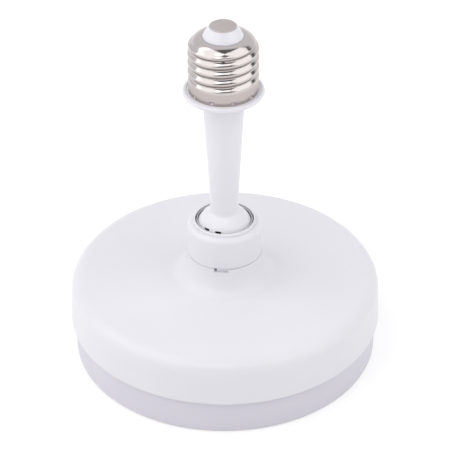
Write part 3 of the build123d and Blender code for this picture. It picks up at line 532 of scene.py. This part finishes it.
# Supply wires: soft insulation, slightly uneven
for slot, colour, cloud in (
    ("live_wire", (0.50, 0.03, 0.025), (0.38, 0.02, 0.018)),
    ("neutral_wire", (0.025, 0.025, 0.028), (0.045, 0.044, 0.046)),
):
    wire = coated_piece(f"{slot}_insulation", colour, cloud, roughness=0.42, grain=1.1, grain_depth=0.03)
    shade(slot, wire)

# Screw shell mesh: a thin metal shell. Its angles are degrees from the front.
SHELL_WALL = 0.3
SHELL_BOTTOM = 115.05
SHELL_SKIRT_RADIUS = 13.0
SHELL_SEGMENTS = 252
SHELL_STEP = 0.16
SHELL_SHARP_ANGLE = radians(50)
# The thread is rolled into the wall, right-handed, and fades in and out over a length
THREAD_PITCH = 3.629
THREAD_MIDDLE_RADIUS = 12.63
THREAD_AMPLITUDE = 0.5
THREAD_FRONT_CREST = 124.2
THREAD_START = 119.9
THREAD_START_LENGTH = 1.3
THREAD_END = 134.4
THREAD_END_LENGTH = 1.7
# The dome is a curve from the shoulder to the mouth, drawn towards a corner. Each is a radius and a height.
SHOULDER = (12.6, 133.5)
DOME_CORNER = (11.35, 137.0)
DOME_CORNER_WEIGHT = 1.15
MOUTH = (7.7, 137.587)
DOME_STEPS = 24
# Punch marks and a crimped line hold the skirt to the plug. Each rise is counted from the skirt's lower edge.
PUNCH_COUNT = 10
PUNCH_FIRST = -20
PUNCH_RISE = 1.0
PUNCH_WIDTH = 0.55
PUNCH_HEIGHT = 0.4
PUNCH_DEPTH = 0.5
CRIMP_RISE = 0.65
CRIMP_HEIGHT = 0.2
CRIMP_DEPTH = 0.09
# How much painted shade the crimped line gets
CRIMP_SHADE = 0.6
# Painted shade sits a part of a turn past the middle of the thread's groove
GROOVE_LAG = 0.12
GROOVE_SHARPNESS = 4


def smooth_step(value):
    value = min(max(value, 0), 1)
    return value * value * (3 - 2 * value)


def thread_start(z):
    """0 on the skirt, and 1 where the thread has its full depth."""
    return smooth_step((z - THREAD_START) / THREAD_START_LENGTH)


def thread_end(z):
    """0 along the thread, and 1 where it has run out under the dome."""
    return smooth_step((z - THREAD_END) / THREAD_END_LENGTH)


def thread_wave(angle, z, lag=0.0):
    """1 on the thread's crest and -1 in its groove."""
    turns = (z - THREAD_FRONT_CREST) / THREAD_PITCH - angle / 360 - lag
    return thread_start(z) * (1 - thread_end(z)) * cos(2 * pi * turns)


def punch_mark(angle, z):
    """1 in the middle of a punch mark, and 0 away from it."""
    spacing = 360 / PUNCH_COUNT
    off = (angle - PUNCH_FIRST + spacing / 2) % spacing - spacing / 2
    across = radians(off) * SHELL_SKIRT_RADIUS / PUNCH_WIDTH
    up = (z - SHELL_BOTTOM - PUNCH_RISE) / PUNCH_HEIGHT
    return exp(-across * across - up * up)


def crimp_line(z):
    """1 in the middle of the crimped line, and 0 away from it."""
    up = (z - SHELL_BOTTOM - CRIMP_RISE) / CRIMP_HEIGHT
    return exp(-up * up)


def dome_point(part):
    """Radius and height, part of the way from the shoulder to the mouth."""
    weights = ((1 - part) ** 2, 2 * part * (1 - part) * DOME_CORNER_WEIGHT, part ** 2)
    point = []
    for values in zip(SHOULDER, DOME_CORNER, MOUTH):
        point.append(sum(weight * value for weight, value in zip(weights, values)) / sum(weights))
    return point


def shell_profile():
    """Radius and height up the skirt, the threaded wall and the dome, without the thread itself."""
    wall_height = SHOULDER[1] - SHELL_BOTTOM
    wall_steps = round(wall_height / SHELL_STEP)
    profile = []
    for step in range(wall_steps):
        z = SHELL_BOTTOM + wall_height * step / wall_steps
        radius = SHELL_SKIRT_RADIUS + (THREAD_MIDDLE_RADIUS - SHELL_SKIRT_RADIUS) * thread_start(z)
        profile.append((radius, z))
    for step in range(DOME_STEPS + 1):
        profile.append(dome_point(step / DOME_STEPS))
    return profile


def shell_section(profile, angle):
    """The shell's closed outline at an angle, as radius and height, and the painted shade on each of its
    points.
    """
    outer = []
    painted_shade = []
    for radius, z in profile:
        punch = punch_mark(angle, z)
        crimp = crimp_line(z)
        dents = PUNCH_DEPTH * punch + CRIMP_DEPTH * crimp
        outer.append((radius + THREAD_AMPLITUDE * thread_wave(angle, z) - dents, z))
        # Painted shade on the groove's flank, in the punch marks and in the crimped line
        groove = max(0, -thread_wave(angle, z, GROOVE_LAG)) ** GROOVE_SHARPNESS
        painted_shade.append(max(groove, punch, CRIMP_SHADE * crimp))
    inner = [(radius - SHELL_WALL, z) for radius, z in outer[:-DOME_STEPS]]
    inner += [(radius - SHELL_WALL / 2, z - SHELL_WALL) for radius, z in outer[-DOME_STEPS:]]
    return outer + inner[::-1], painted_shade + [0] * len(inner)


def section_faces(sections, points):
    """Faces that join each section's points to the next section's, all the way round."""
    faces = []
    for section in range(sections):
        here = section * points
        there = (section + 1) % sections * points
        for index in range(points):
            after = (index + 1) % points
            faces.append((here + index, there + index, there + after, here + after))
    return faces


def make_screw_shell():
    profile = shell_profile()
    vertices = []
    painted_shade = []
    for segment in range(SHELL_SEGMENTS):
        angle = 360 * segment / SHELL_SEGMENTS
        turn = radians(angle)
        outline, outline_shade = shell_section(profile, angle)
        vertices += [Vector((radius * sin(turn), -radius * cos(turn), z)) * MM for radius, z in outline]
        painted_shade += outline_shade
    mesh = bpy.data.meshes.new("rolled_screw_shell")
    mesh.from_pydata(vertices, [], section_faces(SHELL_SEGMENTS, len(vertices) // SHELL_SEGMENTS))
    mesh.attributes.new(SHADE_ATTRIBUTE, "FLOAT", "POINT").data.foreach_set("value", painted_shade)
    mesh.shade_smooth()
    mesh.set_sharp_from_angle(angle=SHELL_SHARP_ANGLE)
    mesh.materials.append(shell_metal.material)
    shell = add_to_scene("rolled_screw_shell", mesh)
    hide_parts("screw_shell")
    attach(shell, "neck")


make_screw_shell()

# The CAD pieces' curved faces are shaded smooth, up to edges sharper than this
CAD_SHARP_ANGLE = radians(30)
for node in frame["nodes"].values():
    node.data.shade_smooth()
    node.data.set_sharp_from_angle(angle=CAD_SHARP_ANGLE)
